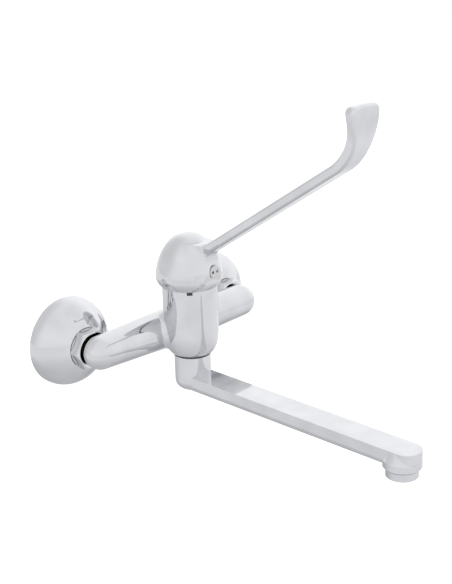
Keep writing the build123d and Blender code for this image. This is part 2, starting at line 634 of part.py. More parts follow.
def lever_side():
    """Side view of neck and lever: dip behind the lever, bend up to the paddle, facet over the plug."""
    start, inner, inner_top, outer_top, outer, under = lever_corners()
    rise = (cos(radians(LEVER_ANGLE)), sin(radians(LEVER_ANGLE)))
    above = FilletPolyline(start, inner, inner_top, radius=BEND_RADIUS)
    below = FilletPolyline(outer_top, outer, under, radius=BEND_OUTER_RADIUS)
    dip = Spline((NECK_BACK, NECK_DIP_HEIGHT), (NECK_DIP, NECK_DIP_HEIGHT), start,
                 tangents=[(1, 0), rise])
    face = (NECK_FACE, SCREW_HEIGHT)
    foot = (NECK_FOOT, NECK_FOOT_HEIGHT)
    throat = Spline(under, (NECK_THROAT, NECK_THROAT_HEIGHT), face, foot,
                    tangents=[(-rise[0], -rise[1]), (0, -1)], tangent_scalars=[1, 1])
    closing = Polyline(foot, (NECK_BACK, NECK_FOOT_HEIGHT), (NECK_BACK, NECK_DIP_HEIGHT))
    return make_face(Wire([*dip.edges(), *above.edges(), Line(inner_top, outer_top), *below.edges(),
                           *throat.edges(), *closing.edges()]))


def lever_front():
    """Front view of the lever: sides that widen slowly, then flare to a crowned paddle."""
    root = LEVER_ROOT_WIDTH / 2
    half = LEVER_WIDTH / 2
    wide = PADDLE_WIDTH / 2
    shoulder = PADDLE_TOP - PADDLE_CROWN
    edges = []
    for sign in SIDES.values():
        foot = (sign * root, NECK_THROAT_HEIGHT)
        flare = (sign * half, PADDLE_FLARE_START)
        taper = (sign * (half - root), PADDLE_FLARE_START - NECK_THROAT_HEIGHT)
        edges.append(Line((sign * root, 0), foot))
        edges.append(Line(foot, flare))
        edges.append(Spline(flare, (sign * wide, shoulder), tangents=[taper, (sign * PADDLE_FLARE_END, 1)]))
    edges.append(ThreePointArc((-wide, shoulder), (0, PADDLE_TOP), (wide, shoulder)))
    edges.append(Line((-root, 0), (root, 0)))
    outline = make_face(Wire(edges))
    corners = outline.vertices().filter_by(lambda corner: corner.Y > PADDLE_FLARE_START + PADDLE_CORNER)
    return fillet(corners, PADDLE_CORNER)


def side_blank():
    """Side view of neck, lever and paddle, pulled out across the tap."""
    side_view = Plane(origin=(PADDLE_WIDTH, 0, 0), x_dir=(0, -1, 0), z_dir=(-1, 0, 0))
    return side_view.location * extrude(lever_side(), 2 * PADDLE_WIDTH)


def lever_arm():
    """Lever and paddle, cut to both views, with rounded edges."""
    front_view = Plane(origin=(0, 0, 0), x_dir=(1, 0, 0), z_dir=(0, -1, 0))
    front = front_view.location * extrude(lever_front(), 2 * SPOUT_REACH)
    blank = side_blank() & front
    free = blank.edges().filter_by(lambda edge: edge.center().Z > NECK_DIP_HEIGHT + LEVER_THICKNESS)
    return fillet(free, LEVER_EDGE)


def neck_plan(cap, height, half, front):
    """Plan of the neck at one height: a prow whose flanks run tangent to the cap."""
    radius = sqrt((cap & Plane.XY.offset(height)).area / pi) - SEATED
    corner = hypot(half, front)
    turn = acos(radius / corner) + atan2(half, front)
    touch_x = radius * sin(turn)
    touch_y = radius * cos(turn)
    reach = 1 + NECK_EDGE / hypot(touch_x - half, front - touch_y)
    nose_x = touch_x + (half - touch_x) * reach
    nose_y = touch_y + (front - touch_y) * reach
    outline = Polyline((-touch_x, -touch_y), (-nose_x, -nose_y), (nose_x, -nose_y), (touch_x, -touch_y),
                       (0, 0), close=True)
    return Pos(0, 0, height) * make_face(outline)


def lever_neck(cap):
    """Neck that swells out of the cap, carries the plug's facet and meets the lever's root."""
    face = NECK_FACE_WIDTH / 2
    root = LEVER_ROOT_WIDTH / 2
    plans = [neck_plan(cap, NECK_FOOT_HEIGHT, face, CAP_WAIST_RADIUS + APART),
             neck_plan(cap, SCREW_HEIGHT, face, NECK_FACE),
             neck_plan(cap, NECK_THROAT_HEIGHT, root, NECK_THROAT),
             neck_plan(cap, NECK_DIP_HEIGHT, root, LEVER_START)]
    neck = loft(plans) & side_blank()
    edges = neck.edges().filter_by(lambda edge: edge.center().Y < -NECK_THROAT + NECK_EDGE)
    return fillet(edges.filter_by(Axis.X, reverse=True), NECK_EDGE)


def lever_handle():
    """One casting: cap, neck, lever and paddle, with the spindle socket and the plug's seat."""
    cap = cap_shell()
    handle = cap + lever_arm() + lever_neck(cap)
    handle -= cap_cavity()
    boss = cylinder(CAP_BOSS_RADIUS, PIVOT_HEIGHT + TRIM_RADIUS + 2 * APART, CAP_ROOF_HEIGHT + 1)
    handle += boss
    socket = SPINDLE_WIDTH + 2 * SEATED
    handle -= Pos(0, 0, PIVOT_HEIGHT) * Box(socket, socket, 2 * (SPINDLE_TOP - PIVOT_HEIGHT + APART))
    handle -= Pos(0, 0, SCREW_HEIGHT) * bar_y(SCREW_RADIUS + SEATED, -CAP_BOSS_RADIUS - 1, 0)
    handle -= Pos(0, 0, SCREW_HEIGHT) * bar_y(KEY_HOLE_RADIUS, -2 * NECK_FACE, -CAP_BOSS_RADIUS)
    seat = bar_y(PLUG_RADIUS + SEATED, -2 * NECK_FACE, -NECK_FACE + PLUG_THICKNESS)
    handle -= Pos(0, 0, SCREW_HEIGHT) * seat
    return BARREL * handle


def set_screw():
    """Socket set screw whose end bears on the spindle's flat."""
    near = SPINDLE_WIDTH / 2
    screw = bar_y(SCREW_RADIUS, -near - SCREW_LENGTH, -near)
    key = Rot(90, 0, 0) * hexagon(SCREW_SOCKET, near + SCREW_LENGTH / 2, near + SCREW_LENGTH + 1)
    return BARREL * Pos(0, 0, SCREW_HEIGHT) * (screw - key)


def index_plug():
    """Snap-in cover over the set screw: a button standing a little proud, on a hollow stem."""
    front = -NECK_FACE - PLUG_PROUD
    back = -NECK_FACE + PLUG_THICKNESS
    button = bar_y(PLUG_RADIUS - APART, front, back)
    button = fillet(button.edges().group_by(Axis.Y)[0], PLUG_ROUND)
    button += bar_y(KEY_HOLE_RADIUS - SEATED, front + PLUG_ROUND, back + PLUG_STEM_LENGTH)
    button -= bar_y(KEY_HOLE_RADIUS - PLUG_STEM_WALL, back - PLUG_STEM_WALL, back + PLUG_STEM_LENGTH + 1)
    for sign in SIDES.values():
        button -= Pos(sign * MARK_SPACING / 2, 0, 0) * bar_y(MARK_RADIUS, front - 1, front + MARK_DEPTH)
    return BARREL * Pos(0, 0, SCREW_HEIGHT) * button


def plug_mark(side):
    """Round coloured inlay in the plug's face: hot on the left, cold on the right."""
    front = -NECK_FACE - PLUG_PROUD
    inlay = bar_y(MARK_RADIUS - SEATED, front - MARK_PROUD, front + MARK_DEPTH)
    return BARREL * Pos(side * MARK_SPACING / 2, 0, SCREW_HEIGHT) * inlay


# Spout

def o_ring_groove(height):
    """Groove in the spout nipple for one O-ring."""
    half = O_RING_SECTION / 2 + EDGE_BREAK
    return tube(JOURNAL_RADIUS + 1, O_RING_FLOOR, height - half, height + half)


def spout_nipple():
    """Brass tail screwed into the barrel, with O-ring grooves and a groove for the retaining screw."""
    nipple = cylinder(NIPPLE_THREAD_RADIUS, BARREL_BOTTOM, CHAMBER_TOP - EDGE_BREAK)
    nipple += cylinder(JOURNAL_RADIUS, JOURNAL_END, BARREL_BOTTOM)
    for height in O_RING_HEIGHTS:
        nipple -= o_ring_groove(height)
    groove = tube(JOURNAL_RADIUS + 1, JOURNAL_RADIUS - GRUB_GROOVE, GRUB_HEIGHT - GRUB_RADIUS - APART,
                  GRUB_HEIGHT + GRUB_RADIUS + APART)
    nipple -= groove
    nipple -= cylinder(SPOUT_NIPPLE_BORE, JOURNAL_END - 1, CHAMBER_TOP)
    return BARREL * nipple


def spout_o_rings():
    """Two rubber rings in the nipple's grooves, squeezed to the hub's bore."""
    rings = []
    for height in O_RING_HEIGHTS:
        outer = JOURNAL_RADIUS + RUNNING / 2
        half = O_RING_SECTION / 2
        ring = tube(outer, O_RING_FLOOR + SEATED, height - half, height + half)
        ring = fillet(ring.edges(), O_RING_ROUND)
        rings.append(BARREL * ring)
    return Compound(rings)


def glide_washer():
    """Dark plastic washer that the spout's hub turns against, seen as a line under the barrel."""
    ring = tube(COLLAR_RADIUS - COLLAR_WALL, JOURNAL_RADIUS + APART, GLIDE_BOTTOM + RUNNING, BARREL_BOTTOM)
    return BARREL * ring


def spout_bar():
    """Straight bar of the spout with a rounded end and a rounded underside."""
    end = -SPOUT_REACH - HEAD_RADIUS
    plan = Pos(0, end / 2) * Rectangle(SPOUT_WIDTH, -end)
    plan = fillet(plan.vertices().group_by(Axis.Y)[0], SPOUT_END_ROUND)
    bar = Pos(0, 0, SPOUT_BOTTOM) * extrude(plan, SPOUT_TOP - SPOUT_BOTTOM)
    under = bar.edges().group_by(Axis.Z)[0].filter_by(lambda edge: edge.center().Y < -1)
    return fillet(under, SPOUT_UNDER_ROUND)


def spout_head():
    """Round head at the outlet, widening from the bar's top face to its full size."""
    head = turned_polygon((0, SPOUT_TOP), (HEAD_TOP_RADIUS, SPOUT_TOP), (HEAD_RADIUS, HEAD_FULL_HEIGHT),
                          (HEAD_RADIUS, HEAD_BOTTOM + HEAD_CHAMFER),
                          (HEAD_RADIUS - HEAD_CHAMFER, HEAD_BOTTOM), (0, HEAD_BOTTOM))
    return Pos(0, -SPOUT_REACH, 0) * head


def spout():
    """Cast spout: hub boss, bar with a rounded underside, head bored for the aerator."""
    hub = cylinder(COLLAR_RADIUS, SPOUT_BOTTOM, SPOUT_TOP)
    hub = fillet(hub.edges().group_by(Axis.Z)[0], HUB_UNDER_ROUND)
    blade = hub + spout_bar() + spout_head()
    blade += cylinder(COLLAR_RADIUS - COLLAR_WALL, SPOUT_TOP, GLIDE_BOTTOM)
    channel = (SPOUT_TOP + SPOUT_BOTTOM) / 2
    blade -= cylinder(JOURNAL_RADIUS + RUNNING, channel - SPOUT_BORE_RADIUS - EDGE_BREAK, 0)
    blade -= Pos(0, 0, channel) * bar_y(SPOUT_BORE_RADIUS, -SPOUT_REACH, 0)
    outlet = cylinder(OUTLET_RADIUS, channel, AERATOR_SEAT + 1)
    outlet += cylinder(AERATOR_THREAD_RADIUS, HEAD_BOTTOM - 1, AERATOR_SEAT)
    blade -= Pos(0, -SPOUT_REACH, 0) * outlet
    blade -= Pos(0, 0, GRUB_HEIGHT) * bar_y(GRUB_RADIUS + SEATED, 0, COLLAR_RADIUS)
    return BARREL * blade


def spout_collar():
    """Polished sleeve over the hub boss, standing on the blade."""
    sleeve = tube(COLLAR_RADIUS, COLLAR_RADIUS - COLLAR_WALL + SEATED, SPOUT_TOP, GLIDE_BOTTOM)
    sleeve = chamfer(sleeve.edges().group_by(Axis.Z)[-1].sort_by(SortBy.RADIUS)[-1], EDGE_BREAK)
    sleeve -= Pos(0, 0, GRUB_HEIGHT) * bar_y(GRUB_RADIUS + SEATED, 0, 2 * COLLAR_RADIUS)
    return BARREL * sleeve


def retaining_screw():
    """Grub screw through the collar and hub, its end in the nipple's groove."""
    end = JOURNAL_RADIUS - GRUB_GROOVE + APART
    screw = bar_y(GRUB_RADIUS, end, COLLAR_RADIUS - EDGE_BREAK)
    key = Rot(-90, 0, 0) * hexagon(GRUB_RADIUS, COLLAR_RADIUS - GRUB_SOCKET_DEPTH, COLLAR_RADIUS)
    return BARREL * Pos(0, 0, GRUB_HEIGHT) * (screw - key)


# Aerator

AERATOR = BARREL * Pos(0, -SPOUT_REACH, 0)
HOUSING_TOP = AERATOR_SEAT - GASKET_THICKNESS
INSERT_BOTTOM = AERATOR_BOTTOM + INSERT_RAISED


def aerator_gasket():
    """Flat rubber ring between the aerator and the spout's shoulder."""
    return AERATOR * tube(AERATOR_THREAD_RADIUS - APART / 2, OUTLET_RADIUS, HOUSING_TOP, AERATOR_SEAT)


def aerator_housing():
    """Screwed shell with a plain band below the spout and an inward lip at its mouth."""
    shell = cylinder(AERATOR_THREAD_RADIUS - SEATED, HEAD_BOTTOM, HOUSING_TOP)
    band = cylinder(AERATOR_BAND_RADIUS, AERATOR_BOTTOM, HEAD_BOTTOM)
    band = chamfer(band.edges().group_by(Axis.Z)[0], EDGE_BREAK)
    shell += band
    shell -= cylinder(AERATOR_BORE_RADIUS, INSERT_BOTTOM, HOUSING_TOP + 1)
    shell -= cylinder(AERATOR_BORE_RADIUS - AERATOR_LIP, AERATOR_BOTTOM - 1, INSERT_BOTTOM + 1)
    return AERATOR * shell


def jet_centres(limit):
    """Hexagonal pattern of hole centres within a radius."""
    rows = int(limit / JET_HOLE_PITCH) + 1
    centres = []
    for row in range(-rows, rows + 1):
        for column in range(-2 * rows, 2 * rows + 1):
            x = (column + row / 2) * JET_HOLE_PITCH
            y = row * JET_HOLE_PITCH * sqrt(3) / 2
            if sqrt(x ** 2 + y ** 2) < limit - JET_HOLE_RADIUS:
                centres.append((x, y))
    return centres


def aerator_insert():
    """Plastic core: a cup on the shell's lip, its floor pierced by a hexagonal field of jets."""
    high = HOUSING_TOP - SCREEN_THICKNESS
    outer = AERATOR_BORE_RADIUS - SEATED
    cup = cylinder(outer, INSERT_BOTTOM, high)
    cup -= cylinder(outer - INSERT_WALL, INSERT_BOTTOM + INSERT_WALL, high + 1)
    holes = [Pos(x, y) * Circle(JET_HOLE_RADIUS) for x, y in jet_centres(outer - AERATOR_LIP - INSERT_WALL)]
    cup -= Pos(0, 0, INSERT_BOTTOM - 1) * extrude(Sketch() + holes, 2 * INSERT_WALL + 1)
    return AERATOR * cup


def aerator_screen():
    """Fine steel screen lying on the core under the gasket."""
    return AERATOR * cylinder(AERATOR_BORE_RADIUS - SEATED, HOUSING_TOP - SCREEN_THICKNESS, HOUSING_TOP)


def all_nodes():
    """Every piece of the tap by name."""
    nodes = {
        "mixer_body": mixer_body(),
        "cartridge_base": cartridge_base(),
        "base_seals": port_seals(SEAT_HEIGHT),
        "disc_seals": port_seals(BASE_TOP - SEAL_DEPTH),
        "fixed_disc": fixed_disc(),
        "moving_disc": moving_disc(),
        "disc_coupler": disc_coupler(),
        "lever_carrier": lever_carrier(),
        "pivot_pin": pivot_pin(),
        "spindle": spindle(),
        "cartridge_housing": cartridge_housing(),
        "clamping_ring": clamping_ring(),
        "trim_dome": trim_dome(),
        "lever_handle": lever_handle(),
        "set_screw": set_screw(),
        "index_plug": index_plug(),
        "hot_mark": plug_mark(-1),
        "cold_mark": plug_mark(1),
        "spout_nipple": spout_nipple(),
        "spout_o_rings": spout_o_rings(),
        "glide_washer": glide_washer(),
        "spout": spout(),
        "spout_collar": spout_collar(),
        "retaining_screw": retaining_screw(),
        "aerator_gasket": aerator_gasket(),
        "aerator_housing": aerator_housing(),
        "aerator_insert": aerator_insert(),
        "aerator_screen": aerator_screen(),
    }
    for name, side in SIDES.items():
        nodes[f"s_union_{name}"] = s_union(side)
        nodes[f"wall_flange_{name}"] = wall_flange(side)
        nodes[f"union_nut_{name}"] = union_nut(side)
        nodes[f"inlet_nipple_{name}"] = inlet_nipple(side)
        nodes[f"inlet_washer_{name}"] = inlet_washer(side)
        nodes[f"inlet_strainer_{name}"] = inlet_strainer(side)
    return nodes


os.makedirs("parts", exist_ok=True)
for node, shape in all_nodes().items():
    export_step(shape, f"parts/{node}.step")
    print(node, round(shape.volume), "mm3")
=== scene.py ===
# %% [markdown]
# A wall-mounted single-lever mixer tap: two threaded unions come out of the wall, a brass casting
# bridges them, a cartridge in its middle mixes the water, and a long spout swivels underneath.
# Nearly all of what shows is chrome plate, so this lesson is mostly about one finish and about the
# room that it mirrors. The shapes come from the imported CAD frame. This file adds the surface of every
# material, with pipe threads and wire cloth drawn in the finish and not modelled, and two small shapes that
# the CAD lacks.

# %% Load the fixed frame
import json
import math

import bmesh
import bpy
from mathutils import Matrix, Vector


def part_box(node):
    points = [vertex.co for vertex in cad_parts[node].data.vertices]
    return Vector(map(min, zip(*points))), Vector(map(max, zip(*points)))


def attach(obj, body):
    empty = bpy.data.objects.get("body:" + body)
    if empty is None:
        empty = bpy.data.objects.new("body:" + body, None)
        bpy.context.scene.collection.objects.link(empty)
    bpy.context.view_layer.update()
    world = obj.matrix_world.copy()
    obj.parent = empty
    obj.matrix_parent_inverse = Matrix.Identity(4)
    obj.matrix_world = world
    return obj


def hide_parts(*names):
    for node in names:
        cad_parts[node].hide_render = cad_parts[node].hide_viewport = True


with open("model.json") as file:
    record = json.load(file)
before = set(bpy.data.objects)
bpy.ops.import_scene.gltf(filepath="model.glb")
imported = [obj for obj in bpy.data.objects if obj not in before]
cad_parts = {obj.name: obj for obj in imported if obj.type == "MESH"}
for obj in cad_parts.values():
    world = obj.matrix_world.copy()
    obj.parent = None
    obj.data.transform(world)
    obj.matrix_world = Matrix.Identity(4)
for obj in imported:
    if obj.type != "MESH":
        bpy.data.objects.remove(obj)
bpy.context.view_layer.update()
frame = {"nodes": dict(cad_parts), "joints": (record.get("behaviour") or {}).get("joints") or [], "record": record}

nodes = frame["nodes"]

# %% [markdown]
# Two helpers carry the whole file. Colours are written as the hex values that a paint chart or a
# photograph gives, which are sRGB, while Blender's sockets want linear light, so one function
# converts them. The other adds one shader node: its settings are the node's own attributes, and its
# inputs are numbers, colours or the outputs of earlier nodes.

# %% Colours and shader nodes
MM = 0.001
ROUND_STEPS = 96


def linear(hex_colour, alpha=1.0):
    """Linear RGBA from an sRGB hex string such as #C0C0C0."""
    channels = [int(hex_colour[i:i + 2], 16) / 255 for i in (1, 3, 5)]
    return [c / 12.92 if c <= 0.04045 else ((c + 0.055) / 1.055) ** 2.4 for c in channels] + [alpha]


def add(tree, kind, inputs=None, **settings):
    """Adds one node with its settings; inputs are values or other nodes' outputs, by name or number."""
    made = tree.nodes.new(kind)
    for name, value in settings.items():
        setattr(made, name, value)
    for name, value in (inputs or {}).items():
        if isinstance(value, bpy.types.NodeSocket):
            tree.links.new(value, made.inputs[name])
        else:
            made.inputs[name].default_value = value
    return made


def new_material(name):
    """Empty node material with its output and an object-space coordinate in metres."""
    material = bpy.data.materials.new(name)
    material.use_nodes = True
    material.node_tree.nodes.clear()
    tree = material.node_tree
    output = add(tree, "ShaderNodeOutputMaterial")
    place = add(tree, "ShaderNodeTexCoord").outputs["Object"]
    return material, tree, output, place


print("mid grey #808080 is", round(linear("#808080")[0], 3), "in linear light")

# %% [markdown]
# Chrome plate is a layer of chromium about 0.3 micrometres thick over nickel, on brass that was
# ground and then buffed on cloth wheels. The eye gets three things from that: a nearly neutral mirror
# with a faint blue cast, a very slight waviness left by the wheel, and hairlines that blur the
# mirror a little. It could be a plain metallic shader, but then every reflection is drawn with a ruler,
# and the surface reads as computer graphics. So the buffing waves go into a weak bump and a slight
# cloudiness of the colour, and the hairlines vary the roughness a little.

# %% Chrome plate, buffed
BUFF_WAVE = 14 * MM
HAIRLINE = 0.9 * MM


def chrome_plate():
    """Buffed chrome plate on brass."""
    material, tree, output, place = new_material("chrome_plate_buffed")
    waves = add(tree, "ShaderNodeTexNoise", {"Vector": place, "Scale": 1 / BUFF_WAVE, "Detail": 1.5,
                                              "Roughness": 0.4})
    # Hairlines are a few micrometres wide. They are drawn 0.9 mm apart, as coarse as they need to show.
    lines = add(tree, "ShaderNodeTexNoise", {"Vector": place, "Scale": 1 / HAIRLINE, "Detail": 3.0,
                                              "Distortion": 1.2})
    cloud = add(tree, "ShaderNodeValToRGB", {"Fac": waves.outputs["Fac"]})
    cloud.color_ramp.elements[0].position = 0.3
    cloud.color_ramp.elements[0].color = linear("#D0D1D4")
    cloud.color_ramp.elements[1].position = 0.7
    cloud.color_ramp.elements[1].color = linear("#D8D9DC")
    blur = add(tree, "ShaderNodeMapRange", {"Value": lines.outputs["Fac"], "From Min": 0.3, "From Max": 0.75,
                                             "To Min": 0.03, "To Max": 0.07})
    ripple = add(tree, "ShaderNodeBump", {"Height": waves.outputs["Fac"], "Strength": 0.10,
                                           "Distance": 0.12 * MM})
    surface = add(tree, "ShaderNodeBsdfPrincipled",
                  {"Base Color": cloud.outputs["Color"], "Metallic": 1.0, "Roughness": blur.outputs["Result"],
                   "Normal": ripple.outputs["Normal"]})
    tree.links.new(surface.outputs["BSDF"], output.inputs["Surface"])
    return material


chrome = chrome_plate()
print("made", chrome.name, "with", len(chrome.node_tree.nodes), "nodes")

# %% [markdown]
# Plain brass lies inside the tap: the ring that clamps the cartridge, the spigot that the spout turns on
# and the lever's spindle. The unions and nipples are brass too, and get a finish of their own further
# down. It was turned on a lathe, so it carries fine rings, and in air it has gone a little brown in
# patches. Steel appears as a ground pin and as two screws of drawn wire. Both are metals, so their colour
# is the reflection itself. The marks could follow each piece's own axis, but inside the tap they hardly
# show, so they keep one direction: the rings lie square to Y and the steel's grain runs upright.

# %% Turned brass and drawn steel
RING_SPACING = 0.691 * MM
TARNISH_AND_SHADE_PATCH = 9 * MM
GRAIN_OF_WIRE = 0.25 * MM


def turned_brass():
    """Brass as it leaves the lathe, slightly tarnished."""
    material, tree, output, place = new_material("brass_turned")
    # A wave texture repeats every pi / 10 of its scaled length. A real lathe's rings lie closer than these.
    rings = add(tree, "ShaderNodeTexWave", {"Vector": place, "Scale": math.pi / (10 * RING_SPACING),
                                             "Distortion": 0.6, "Detail": 1.0},
                wave_type="BANDS", bands_direction="Y")
    tarnish = add(tree, "ShaderNodeTexNoise", {"Vector": place, "Scale": 1 / TARNISH_AND_SHADE_PATCH, "Detail": 4.0})
    tint = add(tree, "ShaderNodeValToRGB", {"Fac": tarnish.outputs["Fac"]})
    tint.color_ramp.elements[0].position = 0.35
    tint.color_ramp.elements[0].color = linear("#B08D4C")
    tint.color_ramp.elements[1].position = 0.65
    tint.color_ramp.elements[1].color = linear("#D9BC79")
    blur = add(tree, "ShaderNodeMapRange", {"Value": tarnish.outputs["Fac"], "To Min": 0.34, "To Max": 0.22})
    grooves = add(tree, "ShaderNodeBump", {"Height": rings.outputs["Fac"], "Strength": 0.25,
                                            "Distance": 0.03 * MM})
    surface = add(tree, "ShaderNodeBsdfPrincipled",
                  {"Base Color": tint.outputs["Color"], "Metallic": 1.0, "Roughness": blur.outputs["Result"],
                   "Normal": grooves.outputs["Normal"]})
    tree.links.new(surface.outputs["BSDF"], output.inputs["Surface"])
    return material


def drawn_steel():
    """Stainless steel drawn through a die: satin, with faint upright lines."""
    material, tree, output, place = new_material("stainless_steel_drawn")
    stretched = add(tree, "ShaderNodeMapping", {"Vector": place, "Scale": (1.0, 1.0, 0.12)})
    grain = add(tree, "ShaderNodeTexNoise", {"Vector": stretched.outputs["Vector"],
                                              "Scale": 1 / GRAIN_OF_WIRE, "Detail": 2.0})
    tint = add(tree, "ShaderNodeValToRGB", {"Fac": grain.outputs["Fac"]})
    tint.color_ramp.elements[0].color = linear("#A9AAAC")
    tint.color_ramp.elements[1].color = linear("#CDCDCC")
    blur = add(tree, "ShaderNodeMapRange", {"Value": grain.outputs["Fac"], "To Min": 0.22, "To Max": 0.4})
    scratches = add(tree, "ShaderNodeBump", {"Height": grain.outputs["Fac"], "Strength": 0.2,
                                              "Distance": 0.02 * MM})
    surface = add(tree, "ShaderNodeBsdfPrincipled",
                  {"Base Color": tint.outputs["Color"], "Metallic": 1.0, "Roughness": blur.outputs["Result"],
                   "Normal": scratches.outputs["Normal"]})
    tree.links.new(surface.outputs["BSDF"], output.inputs["Surface"])
    return material


brass, steel = turned_brass(), drawn_steel()
print("lathe rings every", round(RING_SPACING / MM, 3), "mm; tarnish patches about", TARNISH_AND_SHADE_PATCH / MM, "mm")

# %% [markdown]
# Round the nuts the photograph shows black gaps, and bright brass there would show as gold specks. So the
# unions and the nipples are painted dark brown all over, a painted shade for those gaps. How they look on
# the real tap can't be seen, and the brown is a guess. A union's two pipe threads have 14 turns to the
# inch, and the nipples have none. A thread is one ridge that climbs as it goes round, so its height depends
# on the way along the axis plus the part of a turn made round it, and a triangle wave of that sum draws it.
# The two ends of a union are not in line, so the angle is taken round another axis at each end. It could
# be a modelled helix, which costs many thousand faces that nobody sees behind the flange.

# %% Brass painted dark as shade, with its pipe threads
PIPE_PITCH = 25.4 / 14 * MM
PIPE_DEPTH = 1.16 * MM
WALL_INLETS = next(mount for mount in frame["record"]["mounts"] if mount["name"] == "wall_inlets")
INLET_PITCH = WALL_INLETS["dims"]["spacing_x_mm"] * MM
NUT_LOW, NUT_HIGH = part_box("union_nut_left")
UNION_OFFSET = (NUT_LOW.z + NUT_HIGH.z) / 2
BARE_MIDDLE, BARE_HALF = 7 * MM, 6 * MM
UNION_END = (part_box("s_union_left")[0].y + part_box("inlet_nipple_left")[1].y) / 2


def threaded_brass():
    """Brass painted dark brown as shade, with a right-hand pipe thread on both ends of a union."""
    material, tree, output, place = new_material("brass_painted_shade_threaded")
    parts = add(tree, "ShaderNodeSeparateXYZ", {"Vector": place}).outputs
    across = add(tree, "ShaderNodeMath", {0: parts["X"], 1: INLET_PITCH, 2: 0.0}, operation="WRAP")
    across = add(tree, "ShaderNodeMath", {0: across.outputs[0], 1: INLET_PITCH / 2}, operation="SUBTRACT")
    tap_end = add(tree, "ShaderNodeMath", {0: parts["Y"], 1: -BARE_MIDDLE}, operation="LESS_THAN")
    height = add(tree, "ShaderNodeMath", {0: tap_end.outputs[0], 1: -UNION_OFFSET, 2: parts["Z"]},
                 operation="MULTIPLY_ADD")
    angle = add(tree, "ShaderNodeMath", {0: height.outputs[0], 1: across.outputs[0]}, operation="ARCTAN2")
    along = add(tree, "ShaderNodeMath", {0: parts["Y"], 1: PIPE_PITCH}, operation="DIVIDE")
    turns = add(tree, "ShaderNodeMath", {0: angle.outputs[0], 1: 1 / (2 * math.pi), 2: along.outputs[0]},
                operation="MULTIPLY_ADD")
    ridge = add(tree, "ShaderNodeMath", {0: turns.outputs[0], 1: 0.5}, operation="PINGPONG")
    # Between the threads lie the hexagon and the slanting neck, which are bare. The nipples are bare too.
    from_bare = add(tree, "ShaderNodeMath", {0: parts["Y"], 1: BARE_MIDDLE}, operation="ADD")
    from_bare = add(tree, "ShaderNodeMath", {0: from_bare.outputs[0]}, operation="ABSOLUTE")
    threaded = add(tree, "ShaderNodeMath", {0: from_bare.outputs[0], 1: BARE_HALF}, operation="GREATER_THAN")
    on_union = add(tree, "ShaderNodeMath", {0: parts["Y"], 1: UNION_END}, operation="GREATER_THAN")
    bands = add(tree, "ShaderNodeMath", {0: threaded.outputs[0], 1: on_union.outputs[0]},
                operation="MULTIPLY")
    relief = add(tree, "ShaderNodeMath", {0: ridge.outputs[0], 1: bands.outputs[0]}, operation="MULTIPLY")
    # Painted shade: the mottled dark brown stands in for the shade in the gaps round the nuts.
    painted_shade_mottle = add(tree, "ShaderNodeTexNoise", {"Vector": place, "Scale": 1 / TARNISH_AND_SHADE_PATCH, "Detail": 4.0})
    tint = add(tree, "ShaderNodeValToRGB", {"Fac": painted_shade_mottle.outputs["Fac"]})
    tint.color_ramp.elements[0].position = 0.35
    tint.color_ramp.elements[0].color = linear("#2A2115")
    tint.color_ramp.elements[1].position = 0.65
    tint.color_ramp.elements[1].color = linear("#54432A")
    blur = add(tree, "ShaderNodeMapRange", {"Value": painted_shade_mottle.outputs["Fac"], "To Min": 0.5, "To Max": 0.38})
    thread = add(tree, "ShaderNodeBump", {"Height": relief.outputs[0], "Strength": 0.8,
                                           "Distance": 2 * PIPE_DEPTH})
    surface = add(tree, "ShaderNodeBsdfPrincipled",
                  {"Base Color": tint.outputs["Color"], "Metallic": 1.0, "Roughness": blur.outputs["Result"],
                   "Normal": thread.outputs["Normal"]})
    tree.links.new(surface.outputs["BSDF"], output.inputs["Surface"])
    return material


painted_shade_brass = threaded_brass()
print("pipe thread pitch", round(PIPE_PITCH / MM, 3), "mm, depth", PIPE_DEPTH / MM, "mm")

# %% [markdown]
# The aerator's screen and the two strainers are woven from thin steel wire. From a little way off the
# cloth is a grid of bright lines with dark holes between them. Two triangle waves at right angles draw it,
# and the greater of the two counts. One runs along X, the other along Y and Z together, so that the same
# cloth serves the level screen and the upright strainers. How each wire goes over one and under the next
# isn't drawn, and the holes are not open: their darkness is painted shade.

# %% Woven wire
WIRE_SPACING = 0.5 * MM


def woven_steel():
    """Steel wire cloth: a grid of bright wires, with painted shade for the holes."""
    material, tree, output, place = new_material("stainless_steel_woven")
    parts = add(tree, "ShaderNodeSeparateXYZ", {"Vector": place}).outputs
    level = add(tree, "ShaderNodeMath", {0: parts["Y"], 1: parts["Z"]}, operation="ADD").outputs[0]
    waves = []
    for way in (parts["X"], level):
        phase = add(tree, "ShaderNodeMath", {0: way, 1: WIRE_SPACING}, operation="DIVIDE")
        wave = add(tree, "ShaderNodeMath", {0: phase.outputs[0], 1: 0.5}, operation="PINGPONG")
        waves.append(wave.outputs[0])
    cloth = add(tree, "ShaderNodeMath", {0: waves[0], 1: waves[1]}, operation="MAXIMUM").outputs[0]
    # The dark end of the ramp is painted shade in the holes between the wires.
    tint = add(tree, "ShaderNodeValToRGB", {"Fac": cloth})
    tint.color_ramp.elements[0].position = 0.2
    tint.color_ramp.elements[0].color = linear("#1C1C1D")
    tint.color_ramp.elements[1].position = 0.32
    tint.color_ramp.elements[1].color = linear("#C4C5C6")
    relief = add(tree, "ShaderNodeBump", {"Height": cloth, "Strength": 0.6, "Distance": 0.3 * MM})
    surface = add(tree, "ShaderNodeBsdfPrincipled",
                  {"Base Color": tint.outputs["Color"], "Metallic": 1.0, "Roughness": 0.3,
                   "Normal": relief.outputs["Normal"]})
    tree.links.new(surface.outputs["BSDF"], output.inputs["Surface"])
    return material


cloth = woven_steel()
print("wires", WIRE_SPACING / MM, "mm apart")

